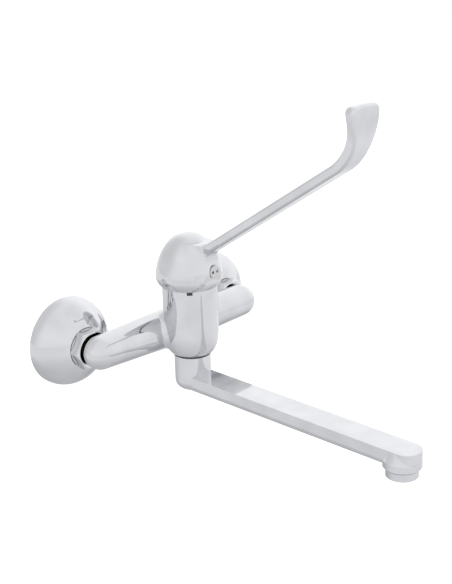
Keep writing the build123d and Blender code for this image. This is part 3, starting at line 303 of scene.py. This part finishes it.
# %% [markdown]
# The rest is moulded or pressed. EPDM rubber seals are matt black with a dusty bloom. The two discs are
# alumina ceramic, lapped until they hold water between them: ivory white, with a gloss like glazed
# porcelain. The cartridge's base, cup, carrier and coupler and the aerator's insert are acetal, a milky
# plastic. The light that real acetal lets in isn't drawn, because these pieces hardly show. The glide
# washer and the stop lug are dark nylon with short glass fibres that show as specks. Each could have a
# shader of its own, but one recipe makes all four: a speckle varies colour and roughness, with a weak bump.
# The real ones also differ mostly in pigment, filler and how smooth the mould was.

# %% Moulded materials
def moulded(name, dark, light, speck, roughness, relief, **shader):
    """Moulded piece: specks of a real size vary its colour and gloss, with a weak relief."""
    material, tree, output, place = new_material(name)
    specks = add(tree, "ShaderNodeTexNoise", {"Vector": place, "Scale": 1 / speck, "Detail": 3.0})
    tint = add(tree, "ShaderNodeValToRGB", {"Fac": specks.outputs["Fac"]})
    tint.color_ramp.elements[0].position = 0.3
    tint.color_ramp.elements[0].color = linear(dark)
    tint.color_ramp.elements[1].position = 0.7
    tint.color_ramp.elements[1].color = linear(light)
    low, high = roughness
    gloss = add(tree, "ShaderNodeMapRange", {"Value": specks.outputs["Fac"], "To Min": low, "To Max": high})
    skin = add(tree, "ShaderNodeBump", {"Height": specks.outputs["Fac"], "Strength": relief,
                                         "Distance": 0.05 * MM})
    surface = add(tree, "ShaderNodeBsdfPrincipled",
                  {"Base Color": tint.outputs["Color"], "Roughness": gloss.outputs["Result"],
                   "Normal": skin.outputs["Normal"], **shader})
    tree.links.new(surface.outputs["BSDF"], output.inputs["Surface"])
    return material


rubber = moulded("rubber_epdm_moulded", "#171718", "#2A2A2B", 0.4 * MM, (0.62, 0.85), 0.3, IOR=1.52)
alumina = moulded("alumina_lapped", "#E9E5DA", "#F5F2EA", 0.6 * MM, (0.10, 0.16), 0.03, IOR=1.76)
acetal = moulded("acetal_moulded", "#E4E2DA", "#EFEDE6", 2.0 * MM, (0.30, 0.42), 0.08, IOR=1.48)
nylon = moulded("nylon_glass_filled", "#202124", "#3A3B3E", 0.3 * MM, (0.38, 0.55), 0.2, IOR=1.53)
print("moulded materials:", [m.name for m in (rubber, alumina, acetal, nylon)])

# %% [markdown]
# The plug that covers the grip screw is taken for ABS with a thin bright metal skin. Two dots are pressed
# into its face, dull red on the left for hot and pale blue on the right for cold. In the photograph a dot
# is only one or two pixels, so their colours are a guess. They are glossy coloured ABS, which the same
# recipe makes.

# %% Plug and its two dots
satin = moulded("abs_metallised", "#C6C6C9", "#D4D4D6", 0.5 * MM, (0.18, 0.28), 0.04, Metallic=0.9)
red = moulded("abs_red_moulded", "#4A1A1E", "#5E2427", 0.5 * MM, (0.25, 0.35), 0.05, IOR=1.54)
blue = moulded("abs_blue_moulded", "#66718A", "#7C869C", 0.5 * MM, (0.25, 0.35), 0.05, IOR=1.54)

FINISH_OF_SLOT = {
    "polished_chrome": chrome, "brass": brass, "stainless_steel": steel, "black_rubber": rubber,
    "ceramic": alumina, "white_acetal": acetal, "dark_plastic": nylon, "grey_plastic": satin,
    "red_plastic": red, "blue_plastic": blue,
}

# %% [markdown]
# Every CAD node already names the slot that its finish belongs to, so the new materials go on by that
# name, and no node is left with the frame's plain colour. Unions, nipples and wire cloths are the
# exceptions, with a finish of their own.

# %% Put a finish on every CAD node
def slot_of(node):
    """The record's slot that a CAD node's own material is named for."""
    return next(slot for slot in FINISH_OF_SLOT if node.material_slots[0].name.startswith(slot))


slots = {name: slot_of(node) for name, node in nodes.items()}
for name, node in nodes.items():
    finish = FINISH_OF_SLOT[slots[name]]
    # Unions and nipples get brass painted dark brown as shade, wire cloths get holes painted dark as shade.
    if name.startswith(("s_union", "inlet_nipple")):
        finish = painted_shade_brass
    elif name.startswith("inlet_strainer") or name == "aerator_screen":
        finish = cloth
    for material_slot in node.material_slots:
        material_slot.material = finish
finishes = [node.material_slots[0].material.name for node in nodes.values()]
print("finished nodes:", {name: finishes.count(name) for name in sorted(set(finishes))})

# %% [markdown]
# A dark line about 1 mm high runs round the foot of the barrel, where the spout's collar turns under it.
# The photograph doesn't say what makes it. Here it is taken for the glide washer's edge, turned down round
# the collar's rim. That lip is a guess: the CAD has a flat washer that lies too deep in the gap to be seen.
# It could be left like that, but then the line is missing. The ring's places come from the boxes of the
# CAD's washer and collar, and its middle is the axis that the spout turns on.

# %% A wider glide washer
SWIVEL = next(joint for joint in frame["joints"] if joint["name"] == "spout_swivel")
BARREL_AXIS = Vector((SWIVEL["pos_m"][0], SWIVEL["pos_m"][1], 0))
FLAT_LOW, FLAT_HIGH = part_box("glide_washer")
WASHER_PLAY = 0.02 * MM
WASHER_BOTTOM, WASHER_TOP = FLAT_LOW.z + WASHER_PLAY, FLAT_HIGH.z - WASHER_PLAY
WASHER_INNER = 9.3 * MM
LIP_PLAY, LIP_WALL, LIP_DROP = 0.06 * MM, 0.44 * MM, 0.9 * MM
COLLAR_TOP_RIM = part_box("spout_collar")[1]
LIP_INNER = COLLAR_TOP_RIM.x + LIP_PLAY
WASHER_OUTER = LIP_INNER + LIP_WALL
LIP_BOTTOM = COLLAR_TOP_RIM.z - LIP_DROP


def glide_washer():
    """Ring in the gap between the barrel and the collar, with a lip turned down round the collar."""
    mesh = bpy.data.meshes.new("glide_washer_wide")
    ring = bmesh.new()
    section = [(WASHER_INNER, WASHER_BOTTOM), (LIP_INNER, WASHER_BOTTOM), (LIP_INNER, LIP_BOTTOM),
               (WASHER_OUTER, LIP_BOTTOM), (WASHER_OUTER, WASHER_TOP), (WASHER_INNER, WASHER_TOP)]
    corners = [ring.verts.new(BARREL_AXIS + Vector((radius, 0, z))) for radius, z in section]
    edges = [ring.edges.new(pair) for pair in zip(corners, corners[1:] + corners[:1])]
    bmesh.ops.spin(ring, geom=corners + edges, cent=BARREL_AXIS, axis=(0, 0, 1), angle=2 * math.pi,
                   steps=ROUND_STEPS, use_merge=True)
    bmesh.ops.recalc_face_normals(ring, faces=ring.faces)
    ring.to_mesh(mesh)
    ring.free()
    made = bpy.data.objects.new("glide_washer_wide", mesh)
    bpy.context.scene.collection.objects.link(made)
    mesh.materials.append(nylon)
    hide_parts("glide_washer")
    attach(made, "body")
    return made


print("washer faces:", len(glide_washer().data.polygons))

# %% [markdown]
# The photograph has one black square in the bright seam between cap and barrel. What it is can't be told:
# a stop for the lever, a plug or only a reflection. Here it is guessed to be a small black stop lug, which
# the CAD doesn't have. It is a plain block with its corners taken off, let into the barrel's wall, and it
# stands out by a third of a millimetre only, so that the cap's rim passes over it when the lever is lifted.
# It could be a flat black patch on the barrel, but a patch has no thickness to catch light.

# %% The stop lug
LUG_SIZE = (4.4 * MM, 2.2 * MM, 2.6 * MM)
LUG_EDGE = 0.25 * MM
LUG_UNDER_CAP = 0.15 * MM
LUG_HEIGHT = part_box("lever_handle")[0].z - LUG_UNDER_CAP - LUG_SIZE[2] / 2
LUG_MIDDLE = Vector((-14.42 * MM, -76.6 * MM, LUG_HEIGHT))


def stop_lug():
    """Small bevelled block, turned to face outwards from the barrel's axis."""
    mesh = bpy.data.meshes.new("stop_lug")
    block = bmesh.new()
    bmesh.ops.create_cube(block, size=1.0)
    bmesh.ops.scale(block, vec=LUG_SIZE, verts=block.verts)
    bmesh.ops.bevel(block, geom=block.edges[:], offset=LUG_EDGE, segments=2, affect="EDGES")
    outwards = LUG_MIDDLE - BARREL_AXIS
    bmesh.ops.rotate(block, cent=(0, 0, 0), verts=block.verts,
                     matrix=Matrix.Rotation(math.atan2(outwards.y, outwards.x) + math.pi / 2, 3, "Z"))
    bmesh.ops.translate(block, vec=LUG_MIDDLE, verts=block.verts)
    block.to_mesh(mesh)
    block.free()
    made = bpy.data.objects.new("stop_lug", mesh)
    bpy.context.scene.collection.objects.link(made)
    mesh.materials.append(nylon)
    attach(made, "body")
    return made


print("a corner of the lug at", [round(v / MM, 1) for v in stop_lug().data.vertices[0].co], "mm")

# %% [markdown]
# A mirror finish shows the room, so the room is part of the object's look. Here a product table stands
# under a white tent: light comes from everywhere, a little more from the right and behind, a little less
# from the left and behind, and the paper underneath is a shade darker than the tent. How bright each side
# is was chosen by comparing the chrome with the photograph, so it fits that one picture. The tent could be
# built of lit sheets, but the world's shader makes it from the direction alone. The camera itself sees
# plain white.

# %% The tent
SKY_STEPS = [(0.00, "#C2C2C4"), (0.20, "#D2D2D3"), (0.35, "#E6E6E6"), (0.50, "#F4F4F4"), (0.70, "#F8F8F8"),
             (1.00, "#F2F2F3")]
TENT_LOBES = [((70, 15), 0.35, 1.16), ((-22, 25), 0.45, 0.80)]
TENT_LEVEL = 1.14


def towards(azimuth, elevation):
    """Direction with azimuth from +Y towards +X, both in degrees."""
    a, e = math.radians(azimuth), math.radians(elevation)
    return Vector((math.sin(a) * math.cos(e), math.cos(a) * math.cos(e), math.sin(e)))


def tent():
    """World shader: brightness by direction for light and reflections, white for the camera."""
    world = bpy.data.worlds.new("white_tent")
    bpy.context.scene.world = world
    world.use_nodes = True
    tree = world.node_tree
    tree.nodes.clear()
    output = add(tree, "ShaderNodeOutputWorld")
    direction = add(tree, "ShaderNodeTexCoord").outputs["Generated"]
    height = add(tree, "ShaderNodeSeparateXYZ", {"Vector": direction}).outputs["Z"]
    level = add(tree, "ShaderNodeMapRange", {"Value": height, "From Min": -1.0, "From Max": 1.0})
    sky = add(tree, "ShaderNodeValToRGB", {"Fac": level.outputs["Result"]})
    steps = sky.color_ramp.elements
    while len(steps) < len(SKY_STEPS):
        steps.new(0.5)
    for step, (position, colour) in zip(steps, SKY_STEPS):
        step.position = position
        step.color = linear(colour)
    colour = sky.outputs["Color"]
    for (azimuth, elevation), reach, gain in TENT_LOBES:
        facing = add(tree, "ShaderNodeVectorMath", {0: direction, 1: towards(azimuth, elevation)},
                     operation="DOT_PRODUCT")
        lobe = add(tree, "ShaderNodeMapRange", {"Value": facing.outputs["Value"], "From Min": reach,
                                                 "From Max": 1.0, "To Min": 1.0, "To Max": gain},
                   interpolation_type="SMOOTHSTEP")
        scaled = add(tree, "ShaderNodeVectorMath", {0: colour, "Scale": lobe.outputs["Result"]},
                     operation="SCALE")
        colour = scaled.outputs["Vector"]
    lit = add(tree, "ShaderNodeBackground", {"Color": colour, "Strength": TENT_LEVEL})
    white = add(tree, "ShaderNodeBackground", {"Color": linear("#FFFFFF"), "Strength": 1.0})
    camera_ray = add(tree, "ShaderNodeLightPath").outputs["Is Camera Ray"]
    both = add(tree, "ShaderNodeMixShader", {0: camera_ray, 1: lit.outputs["Background"],
                                              2: white.outputs["Background"]})
    tree.links.new(both.outputs["Shader"], output.inputs["Surface"])
    return world


print("world:", tent().name)

# %% [markdown]
# The paper lies well below the tap, which hangs from the wall by its two unions, so the tap's shadow
# spreads until it hardly shows. Under the tap the paper is painted greyer, a painted shade, and further
# out it turns white. Two broad patches of painted shade are darker still, one towards the wall and one to
# the right of the spout: the underside of the chrome mirrors them, and without them it has no dark side.
# What was dark in the photographer's room isn't known: the patches were placed by the same comparison as
# the tent. The paper adds white only for the camera.

# %% The paper
FLOOR_HEIGHT = -0.6
FLOOR_RADIUS = 7.0
PAINTED_SHADE_REACH = 1.6
PAPER_TOOTH = 0.8 * MM
PAINTED_SHADE_PATCHES = [((0.2, 1.0, 0), 1.5, 0.62), ((0.55, 0.05, 0), 0.45, 0.72)]


def paper_material():
    """Matt white paper with painted shade, greyer under the tap and in two patches, white to the camera."""
    material, tree, output, place = new_material("paper_matt_painted_shade")
    # Painted shade: the paper's colour is greyer near the middle, under the tap, and whiter further out.
    far = add(tree, "ShaderNodeVectorMath", {0: place}, operation="LENGTH")
    out = add(tree, "ShaderNodeMapRange", {"Value": far.outputs["Value"], "From Max": PAINTED_SHADE_REACH},
              interpolation_type="SMOOTHSTEP")
    shade = add(tree, "ShaderNodeValToRGB", {"Fac": out.outputs["Result"]})
    shade.color_ramp.elements[0].color = linear("#D6D6D8")
    shade.color_ramp.elements[1].color = linear("#F6F6F6")
    colour = shade.outputs["Color"]
    # Painted shade: each patch darkens the paper's colour round its middle, for the chrome to mirror.
    for middle, reach, gain in PAINTED_SHADE_PATCHES:
        away = add(tree, "ShaderNodeVectorMath", {0: place, 1: middle}, operation="DISTANCE")
        fade = add(tree, "ShaderNodeMapRange", {"Value": away.outputs["Value"], "From Max": reach,
                                                 "To Min": gain, "To Max": 1.0},
                   interpolation_type="SMOOTHSTEP")
        shaded = add(tree, "ShaderNodeVectorMath", {0: colour, "Scale": fade.outputs["Result"]},
                     operation="SCALE")
        colour = shaded.outputs["Vector"]
    tooth = add(tree, "ShaderNodeTexNoise", {"Vector": place, "Scale": 1 / PAPER_TOOTH, "Detail": 2.0})
    relief = add(tree, "ShaderNodeBump", {"Height": tooth.outputs["Fac"], "Strength": 0.05,
                                           "Distance": 0.05 * MM})
    matt = add(tree, "ShaderNodeBsdfPrincipled", {"Base Color": colour, "Roughness": 0.9,
                                                   "Normal": relief.outputs["Normal"]})
    glow = add(tree, "ShaderNodeEmission", {"Color": linear("#FFFFFF"), "Strength": 0.5})
    camera_ray = add(tree, "ShaderNodeLightPath").outputs["Is Camera Ray"]
    bright = add(tree, "ShaderNodeAddShader", {0: matt.outputs["BSDF"], 1: glow.outputs["Emission"]})
    both = add(tree, "ShaderNodeMixShader", {0: camera_ray, 1: matt.outputs["BSDF"],
                                              2: bright.outputs["Shader"]})
    tree.links.new(both.outputs["Shader"], output.inputs["Surface"])
    return material


def paper():
    """Round sheet of paper well below the tap."""
    mesh = bpy.data.meshes.new("paper")
    sheet = bmesh.new()
    bmesh.ops.create_circle(sheet, cap_ends=True, radius=FLOOR_RADIUS, segments=ROUND_STEPS)
    sheet.to_mesh(mesh)
    sheet.free()
    floor = bpy.data.objects.new("paper", mesh)
    bpy.context.scene.collection.objects.link(floor)
    floor.location = (0, 0, FLOOR_HEIGHT)
    mesh.materials.append(paper_material())
    return floor


print("paper at", round(paper().location.z, 3), "m")

# %% [markdown]
# One broad lamp above the tap's right shoulder stands for the tent's brighter side and gives the paper
# its soft shadow. It is weak beside the tent and hidden from reflections, so that its round face doesn't
# show in the chrome.

# %% A soft lamp
LAMP_SIZE, LAMP_DISTANCE, LAMP_WATTS = 1.6, 2.2, 6.0
LAMP_SIDE = (70, 55)


def soft_lamp():
    """Large weak area lamp, up on the right."""
    data = bpy.data.lights.new("soft_lamp", "AREA")
    data.shape = "DISK"
    data.size = LAMP_SIZE
    data.energy = LAMP_WATTS
    lamp = bpy.data.objects.new("soft_lamp", data)
    bpy.context.scene.collection.objects.link(lamp)
    lamp.location = towards(*LAMP_SIDE) * LAMP_DISTANCE
    lamp.rotation_euler = (-lamp.location).to_track_quat("-Z", "Y").to_euler()
    lamp.visible_glossy = False
    return lamp


print("lamp at", [round(v, 2) for v in soft_lamp().location])

# %% [markdown]
# The camera stands where a fit to the photograph puts the photographer's: 45 degrees round to the left of
# the spout's direction, looking down by 19 degrees from just under a metre away, tilted by less than two
# degrees. The focal length in pixels came from lining up the two flanges, the barrel and the spout's edges.

# %% The camera
IMAGE_WIDTH, IMAGE_HEIGHT = 452, 584
FOCAL_PIXELS = 1241.7
SENSOR = 36.0
AIM = Vector((0.0187, -0.0823, 0.0445))
CAMERA_AZIMUTH, CAMERA_ELEVATION, CAMERA_ROLL = -45.058, 19.349, -1.763
CAMERA_DISTANCE = 0.956


def camera():
    """Camera at the photograph's viewpoint, looking at the tap's middle."""
    a, e, roll = (math.radians(v) for v in (CAMERA_AZIMUTH, CAMERA_ELEVATION, CAMERA_ROLL))
    back = Vector((math.sin(a) * math.cos(e), -math.cos(a) * math.cos(e), math.sin(e)))
    right = Vector((math.cos(a), math.sin(a), 0))
    up = back.cross(right)
    turned_right = math.cos(roll) * right + math.sin(roll) * up
    turned_up = math.cos(roll) * up - math.sin(roll) * right
    data = bpy.data.cameras.new("camera")
    data.lens = FOCAL_PIXELS * SENSOR / max(IMAGE_WIDTH, IMAGE_HEIGHT)
    data.sensor_width = SENSOR
    data.clip_start, data.clip_end = 0.01, 50
    eye = bpy.data.objects.new("camera", data)
    axes = Matrix((turned_right, turned_up, back)).transposed().to_4x4()
    eye.matrix_world = Matrix.Translation(AIM + back * CAMERA_DISTANCE) @ axes
    bpy.context.scene.collection.objects.link(eye)
    bpy.context.scene.camera = eye
    return eye


print("camera at", [round(v, 4) for v in camera().matrix_world.translation], "m")
bpy.context.scene.view_settings.view_transform = "Standard"
